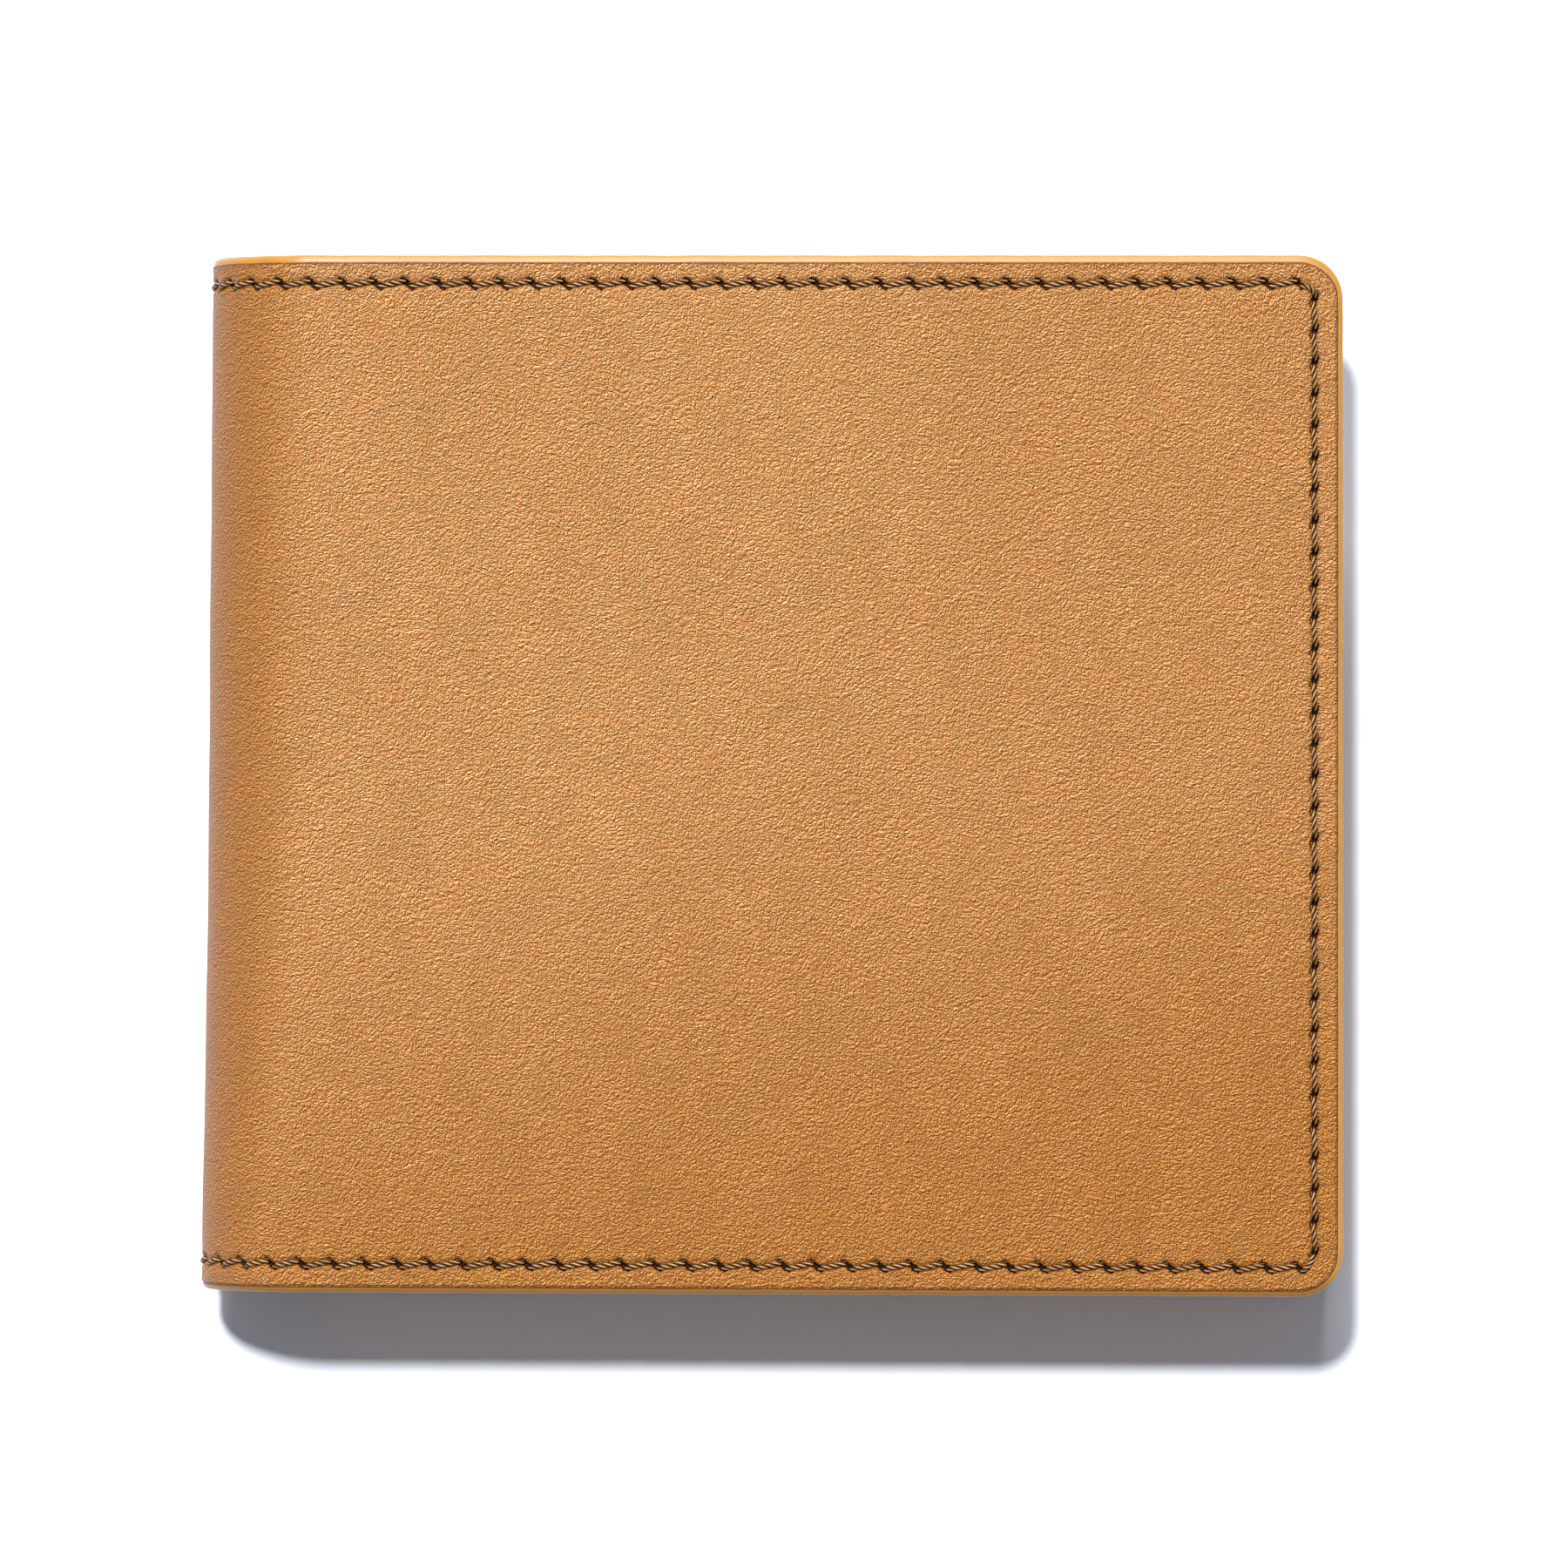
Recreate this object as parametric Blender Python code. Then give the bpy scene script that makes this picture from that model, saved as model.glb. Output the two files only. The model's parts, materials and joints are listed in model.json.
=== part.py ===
"""A leather bifold wallet, closed and lying on its back cover, for Blender 4.5.

Metres, +Z up. The fold runs along Y on the -X side, the free edges face +X, and the note
compartment opens towards +Y. The origin is on the table, under the middle of the closed wallet.
The back half stays still. The front half opens about the spine, which is a chain of narrow
strips that turn by equal angles. Each fold line lies just outside the leather, where the flat
planes that touch two neighbouring strips meet, so the strips part as the wallet opens.
"""

import math

import bmesh
import bpy
from mathutils import Vector

MM = 0.001

# Driving dimensions
WIDTH = 110 * MM
HEIGHT = 100 * MM
THICKNESS = 20 * MM
CORNER = 4.2 * MM
FOLDS = 6

# The layers of one half, as depths below its outer face
COVER = (0.0, 1.3 * MM)
LINING = (1.6 * MM, 1.95 * MM)
NOTE_WALL = (3.15 * MM, 3.65 * MM)
CARD_GAP = 0.85 * MM
POCKET_LEATHER = 0.5 * MM
POCKETS = 4

# The heights of the open edges, and the card that the pockets are made for
NOTE_WALL_TOP = 42 * MM
FRONT_POCKET_TOP = -7 * MM
POCKET_STEP = 12 * MM
CARD_HEIGHT = 54 * MM
CARD_SHOWS = 13 * MM

# Edges and seams
LINING_INSET = 0.4 * MM
STACK_INSET = 0.5 * MM
EDGE_STRIP = 0.7 * MM
CLEARANCE = 0.3 * MM
SEAM_INSET = 2.75 * MM
SPINE_SEAM_INSET = 2.2 * MM
SEAM_BAR = 0.8 * MM
THREAD_RADIUS = 0.25 * MM
THREAD_SUNK = 0.35 * MM
GROOVE_WIDTH = 1.1 * MM
GROOVE_DEPTH = 0.9 * MM

# What follows from them
HALF_WIDTH = WIDTH / 2
HALF_HEIGHT = HEIGHT / 2
BEND_RADIUS = THICKNESS / 2
BEND_X = -HALF_WIDTH + BEND_RADIUS
FOLD_ANGLE = math.pi / FOLDS
STRIP_GAP_ANGLE = CLEARANCE / BEND_RADIUS
LIP_ANGLE = FOLD_ANGLE / 2 - STRIP_GAP_ANGLE / 2
LEAF_INSET = STACK_INSET + EDGE_STRIP + CLEARANCE
SEAM_Y = HALF_HEIGHT - SEAM_INSET

# How finely curves are drawn, and how far a cutter runs past what it cuts
STRIP_STEPS = 6
LIP_STEPS = 3
CORNER_STEPS = 6
REACH = 1 * MM
RING_OVERRUN = math.radians(1)
SHARP_ANGLE = math.radians(30)

TAN_LEATHER = ("tan_leather", (0.60, 0.29, 0.11), 0.55)
TAN_INTERIOR = ("tan_interior_leather", (0.52, 0.25, 0.09), 0.6)
CLOTH_LINING = ("cloth_lining", (0.30, 0.16, 0.07), 0.85)
AMBER_EDGE = ("amber_edge", (0.78, 0.40, 0.07), 0.35)
BROWN_THREAD = ("brown_thread", (0.12, 0.06, 0.03), 0.5)


def clear_scene():
    for obj in list(bpy.data.objects):
        bpy.data.objects.remove(obj, do_unlink=True)


def material(name, colour, roughness):
    """A plain Principled material, made once and shared."""
    made = bpy.data.materials.get(name)
    if made is None:
        made = bpy.data.materials.new(name)
        made.use_nodes = True
        shader = made.node_tree.nodes["Principled BSDF"]
        shader.inputs["Base Color"].default_value = (*colour, 1)
        shader.inputs["Roughness"].default_value = roughness
        shader.inputs["Metallic"].default_value = 0.0
    return made


def place(name, data, look, body):
    """Puts an object in the scene, under the empty of the body that it moves with."""
    obj = bpy.data.objects.new(name, data)
    bpy.context.scene.collection.objects.link(obj)
    if look is not None:
        data.materials.append(material(*look))
    if body is not None:
        obj.parent = body
        obj.matrix_parent_inverse = body.matrix_world.inverted()
    return obj


def shade(mesh):
    """Curved stretches are smooth, and the edges between them stay sharp."""
    mesh.shade_smooth()
    mesh.set_sharp_from_angle(angle=SHARP_ANGLE)


def prism(name, outline, direction, look, body):
    """A closed outline of points, extruded along direction."""
    bm = bmesh.new()
    face = bm.faces.new([bm.verts.new(p) for p in outline])
    grown = bmesh.ops.extrude_face_region(bm, geom=[face])["geom"]
    moved = [v for v in grown if isinstance(v, bmesh.types.BMVert)]
    bmesh.ops.translate(bm, vec=direction, verts=moved)
    bmesh.ops.recalc_face_normals(bm, faces=bm.faces)
    mesh = bpy.data.meshes.new(name)
    bm.to_mesh(mesh)
    bm.free()
    shade(mesh)
    return place(name, mesh, look, body)


def cut(obj, *cutters):
    """Takes the cutters out of obj."""
    for cutter in cutters:
        cutter.hide_render = True
        cutter.display_type = "WIRE"
        boolean = obj.modifiers.new("cut_" + cutter.name, "BOOLEAN")
        boolean.operation = "DIFFERENCE"
        boolean.object = cutter
        boolean.solver = "EXACT"


# The spine's bend: turns are measured round it from the back cover to the front one.


def bend_point(depth, turn):
    """The x and z of a point at that depth below the outer face of the bend."""
    radius = BEND_RADIUS - depth
    return BEND_X - radius * math.sin(turn), BEND_RADIUS - radius * math.cos(turn)


def turns_between(start, end, steps):
    return [start + (end - start) * i / steps for i in range(steps + 1)]


def bend_sector(name, depths, turns, y_middle, half_height, look, body):
    """A stretch of one layer round the bend."""
    outer = [bend_point(depths[0], turn) for turn in turns]
    inner = [bend_point(depths[1], turn) for turn in reversed(turns)]
    outline = [(x, y_middle - half_height, z) for x, z in outer + inner]
    return prism(name, outline, Vector((0, 2 * half_height, 0)), look, body)


def fold_pivot(number):
    """The x and z of a fold line; fold 1 is next to the back half."""
    turn = (number - 0.5) * FOLD_ANGLE
    reach = BEND_RADIUS / math.cos(FOLD_ANGLE / 2)
    return BEND_X - reach * math.sin(turn), BEND_RADIUS - reach * math.cos(turn)


def make_bodies():
    """An empty for each moving body, on its fold line. Strips come first, the front half last."""
    bodies = []
    for number in range(1, FOLDS + 1):
        name = "front_half_axis" if number == FOLDS else f"spine_strip_{number}_axis"
        empty = bpy.data.objects.new(name, None)
        bpy.context.scene.collection.objects.link(empty)
        x, z = fold_pivot(number)
        empty.location = (x, 0, z)
        bodies.append(empty)
    bpy.context.view_layer.update()
    return bodies


# Plans of the flat layers


def arc(centre_x, centre_y, radius, start, end):
    """Points on a corner's arc, its ends included."""
    turns = turns_between(start, end, CORNER_STEPS)
    return [(centre_x + radius * math.cos(t), centre_y + radius * math.sin(t)) for t in turns]


def lower_free_corner(inset):
    return arc(HALF_WIDTH - CORNER, CORNER - HALF_HEIGHT, CORNER - inset, -math.pi / 2, 0)


def upper_free_corner(inset):
    return arc(HALF_WIDTH - CORNER, HALF_HEIGHT - CORNER, CORNER - inset, 0, math.pi / 2)


def three_edges(inset, left):
    """The run along the bottom, the free side and the top of a cover."""
    start = (left, inset - HALF_HEIGHT)
    end = (left, HALF_HEIGHT - inset)
    return [start, *lower_free_corner(inset), *upper_free_corner(inset), end]


def rectangle(left, right, low, high):
    return [(left, low), (right, low), (right, high), (left, high)]


# The card stack's measures. Pocket 1 is the front one, the furthest in and the lowest.


def pocket_depths(number):
    start = NOTE_WALL[1] + CARD_GAP + (POCKETS - number) * (POCKET_LEATHER + CARD_GAP)
    return start, start + POCKET_LEATHER


def pocket_top(number):
    return FRONT_POCKET_TOP + (number - 1) * POCKET_STEP


def card_rest(number):
    """Where the lower edge of a card in this pocket comes to rest."""
    return pocket_top(number) + CARD_SHOWS - CARD_HEIGHT


def stack_steps():
    """The stack's stairs as (upper y, depth of the face below it), from the front pocket up."""
    steps = [(pocket_top(n), pocket_depths(n)[1]) for n in range(1, POCKETS + 1)]
    steps.append((NOTE_WALL_TOP, NOTE_WALL[1]))
    return steps


class Half:
    """One half of the wallet: the back lies on the table, and the front is its mirror above it."""

    def __init__(self, name, on_table, body):
        self.name = name
        self.on_table = on_table
        self.body = body

    def level(self, depth):
        """The height of a depth below this half's outer face."""
        return depth if self.on_table else THICKNESS - depth

    def slab(self, part, outline, depths, look):
        """A flat piece, given as an outline in plan and its two depths."""
        low, high = self.level(depths[0]), self.level(depths[1])
        points = [(x, y, low) for x, y in outline]
        direction = Vector((0, 0, high - low))
        return prism(f"{self.name}_{part}", points, direction, look, self.body)

    def sheet(self, part, depths, inset, look):
        """A layer of the cover: flat, rounded at its free corners, with a lip round the bend."""
        turns = turns_between(0, LIP_ANGLE, LIP_STEPS)
        outer = [bend_point(depths[0], turn) for turn in turns]
        inner = [bend_point(depths[1], turn) for turn in reversed(turns)]
        edge_x = HALF_WIDTH - inset
        section = [(edge_x, depths[0]), *outer, *inner, (edge_x, depths[1])]
        y = HALF_HEIGHT - inset
        outline = [(x, -y, self.level(depth)) for x, depth in section]
        name = f"{self.name}_{part}"
        piece = prism(name, outline, Vector((0, 2 * y, 0)), look, self.body)
        round_corners(piece, edge_x, CORNER - inset)
        return piece

    def thread(self, part, points):
        """A seam's thread: a round tube through points given as x, y and depth."""
        curve = bpy.data.curves.new(f"{self.name}_{part}", "CURVE")
        curve.dimensions = "3D"
        curve.bevel_depth = THREAD_RADIUS
        curve.bevel_resolution = 2
        curve.use_fill_caps = True
        spline = curve.splines.new("POLY")
        spline.points.add(len(points) - 1)
        for point, (x, y, depth) in zip(spline.points, points):
            point.co = (x, y, self.level(depth), 1)
        return place(f"{self.name}_{part}", curve, BROWN_THREAD, self.body)


def round_corners(piece, edge_x, radius):
    """Rounds the two upright corner edges at edge_x."""
    bm = bmesh.new()
    bm.from_mesh(piece.data)
    corners = [
        edge for edge in bm.edges
        if all(abs(vert.co.x - edge_x) < 1e-6 for vert in edge.verts)
        and abs(edge.verts[0].co.y - edge.verts[1].co.y) < 1e-6
    ]
    bmesh.ops.bevel(
        bm, geom=corners, offset=radius, segments=CORNER_STEPS, profile=0.5, affect="EDGES"
    )
    bm.to_mesh(piece.data)
    bm.free()
    shade(piece.data)


def build_cover(half, groove_rings):
    """The outer leather, grooved for its seam, with the lining inside it."""
    leather = half.sheet("cover_leather", COVER, 0, TAN_LEATHER)
    outer = three_edges(SEAM_INSET - GROOVE_WIDTH / 2, BEND_X)
    inner = three_edges(SEAM_INSET + GROOVE_WIDTH / 2, BEND_X)
    groove = half.slab("seam_groove", outer + inner[::-1], (-REACH, GROOVE_DEPTH), None)
    cut(leather, groove, *groove_rings)
    half.sheet("cover_lining", LINING, LINING_INSET, CLOTH_LINING)


def build_cover_threads(half):
    """The seam round the cover's three edges, and its inner stitches along the top."""
    lip = [bend_point(THREAD_SUNK, turn) for turn in turns_between(0, LIP_ANGLE, LIP_STEPS)]
    bottom_lip = [(x, -SEAM_Y, depth) for x, depth in reversed(lip)]
    top_lip = [(x, SEAM_Y, depth) for x, depth in lip]
    flat = [(x, y, THREAD_SUNK) for x, y in three_edges(SEAM_INSET, BEND_X)[1:-1]]
    half.thread("cover_thread", bottom_lip + flat + top_lip)
    on_lining = LINING[1] + CLEARANCE + THREAD_RADIUS
    top_run = [*upper_free_corner(SEAM_INSET), (BEND_X, SEAM_Y)]
    half.thread("lining_thread", [(x, y, on_lining) for x, y in top_run])


def build_pockets(half):
    """The note compartment's wall, and the card pockets in front of it with their seams."""
    left = BEND_X + EDGE_STRIP + CLEARANCE
    right = HALF_WIDTH - LEAF_INSET
    foot = [(left, LEAF_INSET - HALF_HEIGHT), *lower_free_corner(LEAF_INSET)]
    wall = foot + [(right, NOTE_WALL_TOP), (left, NOTE_WALL_TOP)]
    half.slab("note_wall", wall, NOTE_WALL, TAN_INTERIOR)
    for number in range(1, POCKETS + 1):
        depths = pocket_depths(number)
        top = pocket_top(number)
        half.slab(f"card_pocket_{number}", foot + [(right, top), (left, top)], depths, TAN_INTERIOR)
        if number > 1:
            rest = card_rest(number)
            plan = rectangle(left + CORNER, right - CORNER, rest - SEAM_BAR, rest)
            seam = (depths[0] - CARD_GAP + CLEARANCE / 2, depths[0] - CLEARANCE / 2)
            half.slab(f"card_pocket_{number}_bottom_seam", plan, seam, BROWN_THREAD)


def build_stack_edges(half):
    """The glued and coloured edges that close the stack: stairs at both sides, one below."""
    for part, left, low, foot in (
        ("stack_free_edge", HALF_WIDTH - STACK_INSET - EDGE_STRIP, CORNER - HALF_HEIGHT + CLEARANCE,
         LINING[1] + CLEARANCE),
        ("stack_spine_edge", BEND_X, LEAF_INSET - HALF_HEIGHT, NOTE_WALL[0]),
    ):
        stairs = [(low, foot)]
        start = low
        for end, face in stack_steps():
            stairs += [(start, face), (end, face)]
            start = end
        stairs.append((NOTE_WALL_TOP, foot))
        outline = [(left, y, half.level(depth)) for y, depth in stairs]
        name = f"{half.name}_{part}"
        prism(name, outline, Vector((EDGE_STRIP, 0, 0)), AMBER_EDGE, half.body)
    inner_inset = STACK_INSET + EDGE_STRIP
    outer = [(BEND_X, STACK_INSET - HALF_HEIGHT), *lower_free_corner(STACK_INSET)]
    inner = [(BEND_X, inner_inset - HALF_HEIGHT), *lower_free_corner(inner_inset)]
    depths = (LINING[1] + CLEARANCE, pocket_depths(1)[1])
    half.slab("stack_bottom_edge", outer + inner[::-1], depths, AMBER_EDGE)


def climb(x, lift):
    """A thread's way up the stack's stairs at x, from the front pocket to the wall's top."""
    steps = stack_steps()
    points = []
    for (end, face), (_, next_face) in zip(steps, steps[1:]):
        points.append((x, end + lift, face + lift))
        points.append((x, end + lift + face - next_face, next_face + lift))
    points.append((x, NOTE_WALL_TOP - lift, NOTE_WALL[1] + lift))
    return points


def build_stack_thread(half):
    """One thread down the free side, along the bottom and up the spine side, over the stairs."""
    lift = CLEARANCE + THREAD_RADIUS
    low = pocket_depths(1)[1] + lift
    left = BEND_X + SPINE_SEAM_INSET
    down = list(reversed(climb(HALF_WIDTH - SEAM_INSET, lift)))
    corner = [(x, y, low) for x, y in reversed(lower_free_corner(SEAM_INSET))]
    half.thread("stack_thread", down + corner + [(left, -SEAM_Y, low)] + climb(left, lift))


def build_half(half, groove_rings):
    build_cover(half, groove_rings)
    build_cover_threads(half)
    build_pockets(half)
    build_stack_edges(half)
    build_stack_thread(half)


def make_groove_rings():
    """The cutters that carry the seam's groove round the bend, at its top and bottom."""
    turns = turns_between(-RING_OVERRUN, math.pi + RING_OVERRUN, STRIP_STEPS * FOLDS)
    depths = (-REACH, GROOVE_DEPTH)
    return [
        bend_sector(f"groove_ring_{end}", depths, turns, y, GROOVE_WIDTH / 2, None, None)
        for end, y in (("top", SEAM_Y), ("bottom", -SEAM_Y))
    ]


def build_spine(strips, groove_rings):
    """The strips of leather and lining between the folds, with the seam crossing each one."""
    thread_depths = (THREAD_SUNK - THREAD_RADIUS, THREAD_SUNK + THREAD_RADIUS)
    for number, body in enumerate(strips, start=1):
        middle = number * FOLD_ANGLE
        turns = turns_between(middle - LIP_ANGLE, middle + LIP_ANGLE, STRIP_STEPS)
        name = f"spine_leather_{number}"
        leather = bend_sector(name, COVER, turns, 0, HALF_HEIGHT, TAN_LEATHER, body)
        cut(leather, *groove_rings)
        half_height = HALF_HEIGHT - LINING_INSET
        bend_sector(f"spine_lining_{number}", LINING, turns, 0, half_height, CLOTH_LINING, body)
        for end, y in (("top", SEAM_Y), ("bottom", -SEAM_Y)):
            name = f"spine_thread_{end}_{number}"
            bend_sector(name, thread_depths, turns, y, THREAD_RADIUS, BROWN_THREAD, body)


def main():
    clear_scene()
    *strips, front_axis = make_bodies()
    groove_rings = make_groove_rings()
    build_half(Half("back", True, None), groove_rings)
    build_half(Half("front", False, front_axis), groove_rings)
    build_spine(strips, groove_rings)


main()
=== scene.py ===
"""The looks of a tan leather bifold wallet: its leather, cloth, edges and seams in full detail."""
import json
import math

import bpy
import numpy as np
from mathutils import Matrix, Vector, noise


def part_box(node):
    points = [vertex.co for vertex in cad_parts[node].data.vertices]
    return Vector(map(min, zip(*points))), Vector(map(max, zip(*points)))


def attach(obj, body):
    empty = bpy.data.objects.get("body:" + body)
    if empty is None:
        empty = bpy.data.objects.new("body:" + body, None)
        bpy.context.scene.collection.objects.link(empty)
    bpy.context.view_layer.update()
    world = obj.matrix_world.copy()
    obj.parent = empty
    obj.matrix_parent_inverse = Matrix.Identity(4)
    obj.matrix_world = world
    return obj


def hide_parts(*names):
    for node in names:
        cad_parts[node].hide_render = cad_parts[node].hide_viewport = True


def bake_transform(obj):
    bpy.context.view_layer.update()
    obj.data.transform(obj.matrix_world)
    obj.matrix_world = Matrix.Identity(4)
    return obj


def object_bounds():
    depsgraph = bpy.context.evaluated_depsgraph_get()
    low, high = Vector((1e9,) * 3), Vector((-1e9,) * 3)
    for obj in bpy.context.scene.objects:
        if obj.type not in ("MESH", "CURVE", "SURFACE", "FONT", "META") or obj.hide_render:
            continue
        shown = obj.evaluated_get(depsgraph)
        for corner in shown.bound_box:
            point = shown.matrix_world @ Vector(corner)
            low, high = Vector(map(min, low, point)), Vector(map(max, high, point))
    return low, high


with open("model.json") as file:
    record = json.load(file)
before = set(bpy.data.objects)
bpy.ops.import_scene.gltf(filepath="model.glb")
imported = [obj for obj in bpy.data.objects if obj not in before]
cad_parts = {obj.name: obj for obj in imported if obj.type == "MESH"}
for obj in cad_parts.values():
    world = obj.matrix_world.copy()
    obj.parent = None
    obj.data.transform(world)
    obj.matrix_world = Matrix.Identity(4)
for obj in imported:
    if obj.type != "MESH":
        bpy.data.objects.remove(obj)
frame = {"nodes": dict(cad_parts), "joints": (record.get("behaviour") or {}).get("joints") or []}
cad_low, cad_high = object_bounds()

MM = 0.001

# -------------------- measures read from the frame
HALF_WIDTH = cad_high.x
HALF_HEIGHT = cad_high.y
THICKNESS = cad_high.z
BEND_RADIUS = THICKNESS / 2
BEND_X = -HALF_WIDTH + BEND_RADIUS
FOLDS = len(frame["joints"])
POCKETS = sum(n.startswith("back_card_pocket_") and n[-1].isdigit() for n in frame["nodes"])
LEATHER_THICK = 1.3 * MM
LINING_OUT = 1.36 * MM
LINING_IN = 1.85 * MM

# -------------------- the cover's cut pattern
# A point of the flat cover is (s, y): s runs along the outer face from the middle of the spine,
# negative over the back half and positive over the front half. y is the frame's own y.
CORNER = 4.2 * MM
SEAM = 2.75 * MM
PER_STITCH = 12
BEND_STITCHES = 5
FLAT_STITCHES = 31
SIDE_STITCHES = 30
BEND_S = BEND_RADIUS * math.pi / 2
STRAIGHT_S = BEND_S + HALF_WIDTH - BEND_X - CORNER
STRAIGHT_Y = HALF_HEIGHT - CORNER
S_HALF = np.concatenate([
    np.linspace(0, BEND_S, BEND_STITCHES * PER_STITCH + 1),
    np.linspace(BEND_S, STRAIGHT_S, FLAT_STITCHES * PER_STITCH + 1)[1:],
])
S_LINE = np.concatenate([-S_HALF[:0:-1], S_HALF])
Y_LINE = np.linspace(-STRAIGHT_Y, STRAIGHT_Y, SIDE_STITCHES * PER_STITCH + 1)
S_MIDDLE = len(S_HALF) - 1
S_LAST, Y_LAST = len(S_LINE) - 1, len(Y_LINE) - 1
BEND_SAMPLES = BEND_STITCHES * PER_STITCH
CUT_STEP = 2 * BEND_SAMPLES // FOLDS
UV_PER_METRE = 10.0

# -------------------- how the wallet has settled
SPINE_LEAN = 1.1 * MM  # how far the top of the spine leans in
HEM_RISE = 0.5 * MM  # how far the bottom edge rises at the spine
SAG = 0.3 * MM  # how far the uneven back cover may reach below the frame's z = 0


def smooth(low, high, value):
    """0 below low, 1 above high, and a smooth step between them."""
    t = np.clip((np.asarray(value, float) - low) / (high - low), 0, 1)
    return t * t * (3 - 2 * t)


def settle(points):
    """The slight skew that use has given the wallet: the top of the spine leans inwards, and the
    bottom edge rises a little towards the spine."""
    x, y = points[:, 0].copy(), points[:, 1].copy()
    near_spine = 1 - smooth(-0.9 * HALF_WIDTH, 0.2 * HALF_WIDTH, x)
    height = (y + HALF_HEIGHT) / (2 * HALF_HEIGHT)
    points[:, 0] += SPINE_LEAN * near_spine * height * (1.6 - 0.6 * height)
    low = 1 - smooth(-HALF_HEIGHT, 0, y)
    points[:, 1] += HEM_RISE * low * (HALF_WIDTH - x) / (2 * HALF_WIDTH)
    return points


def wrap(s, y, depth):
    """Points in the frame, for places on the flat cover and depths below its outer face."""
    s, y, depth = np.broadcast_arrays(np.asarray(s, float), y, depth)
    turn = np.clip(s, -BEND_S, BEND_S) / BEND_RADIUS + math.pi / 2
    beyond = np.maximum(np.abs(s) - BEND_S, 0)
    radius = BEND_RADIUS - depth
    x = BEND_X - radius * np.sin(turn) + beyond
    z = BEND_RADIUS - radius * np.cos(turn)
    return settle(np.stack([x, y, z], axis=-1).reshape(-1, 3))


def wander(s, y, size, seed, octaves=2):
    """Smooth noise over the flat cover, about -1 to 1."""
    s, y = np.broadcast_arrays(np.asarray(s, float), y)
    flat = zip(s.ravel() / size, y.ravel() / size)
    values = [noise.fractal((a, b, seed), 1.0, 2.0, octaves) for a, b in flat]
    return np.array(values).reshape(s.shape)


# -------------------- the way round a cover's edge


class Round:
    """The closed way round the flat cover, in samples that start at the back's lower corner.

    Each sample has an inner end on the straight-edged field and a direction out to the edge."""

    def __init__(self, step=1):
        columns = np.arange(0, S_LAST + 1, step)
        rows = np.arange(0, Y_LAST + 1, step)
        corner = np.arange(0, PER_STITCH, step) / PER_STITCH * math.pi / 2
        down, up = columns[:-1], columns[:0:-1]
        low, high = rows[:-1], rows[:0:-1]
        legs = [
            (S_LINE[down], -STRAIGHT_Y, -math.pi / 2, down, 0),
            (STRAIGHT_S, -STRAIGHT_Y, corner - math.pi / 2, S_LAST, 0),
            (STRAIGHT_S, Y_LINE[low], 0.0, S_LAST, low),
            (STRAIGHT_S, STRAIGHT_Y, corner, S_LAST, Y_LAST),
            (S_LINE[up], STRAIGHT_Y, math.pi / 2, up, Y_LAST),
            (-STRAIGHT_S, STRAIGHT_Y, corner + math.pi / 2, 0, Y_LAST),
            (-STRAIGHT_S, Y_LINE[high], math.pi, 0, high),
            (-STRAIGHT_S, -STRAIGHT_Y, corner + math.pi, 0, 0),
        ]
        spread = [np.broadcast_arrays(*[np.atleast_1d(part) for part in leg]) for leg in legs]
        joined = [np.concatenate(parts) for parts in zip(*spread)]
        self.s, self.y, self.out = joined[:3]
        self.places = list(zip(map(int, joined[3]), map(int, joined[4])))
        self.count = len(self.s)
        self.phase = (np.arange(self.count) * step % PER_STITCH) / PER_STITCH

    def at(self, inset):
        """Places on the flat cover at a distance in from its edge, one for each sample."""
        reach = CORNER - inset
        return self.s + np.cos(self.out) * reach, self.y + np.sin(self.out) * reach

    def slant(self, out):
        """How much stitches slant where the edge faces out: most along the top and bottom."""
        return SIDE_SLANT + (1 - SIDE_SLANT) * np.abs(np.sin(out))

    def between(self, position, inset, across=0.0):
        """Places at fractional samples, for a way of step 1. Slanting stitches add across."""
        position = np.mod(position, self.count)
        index = np.arange(self.count + 1)
        s = np.interp(position, index, np.append(self.s, self.s[0]))
        y = np.interp(position, index, np.append(self.y, self.y[0]))
        out = np.interp(position, index, np.append(self.out, self.out[0] + 2 * math.pi))
        reach = CORNER - inset - across * self.slant(out)
        return s + np.cos(out) * reach, y + np.sin(out) * reach


# -------------------- meshes


class Build:
    """Points and faces gathered in parts, with values on the points for the materials."""

    def __init__(self):
        self.points = []
        self.values = []
        self.faces = []
        self.count = 0

    def add(self, points, **values):
        """Adds points, and returns their numbers."""
        points = np.asarray(points, float).reshape(-1, 3)
        numbers = np.arange(self.count, self.count + len(points))
        self.points.append(points)
        size = (len(points),)
        self.values.append({k: np.broadcast_to(np.ravel(v), size) for k, v in values.items()})
        self.count += len(points)
        return numbers

    def strip(self, first, second, closed=True):
        """Faces between two rows of points, with first on the right when looking along them."""
        for i in range(len(first) if closed else len(first) - 1):
            j = (i + 1) % len(first)
            face = [int(n) for n in (first[i], first[j], second[j], second[i])]
            kept = [number for n, number in enumerate(face) if number != face[n - 1]]
            if len(kept) > 2:
                self.faces.append(kept)

    def all_values(self):
        keys = self.values[0]
        return {key: np.concatenate([part[key] for part in self.values]) for key in keys}

    def all_points(self):
        return np.concatenate(self.points)


def add_object(name, data):
    obj = bpy.data.objects.new(name, data)
    bpy.context.scene.collection.objects.link(obj)
    return obj


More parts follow.
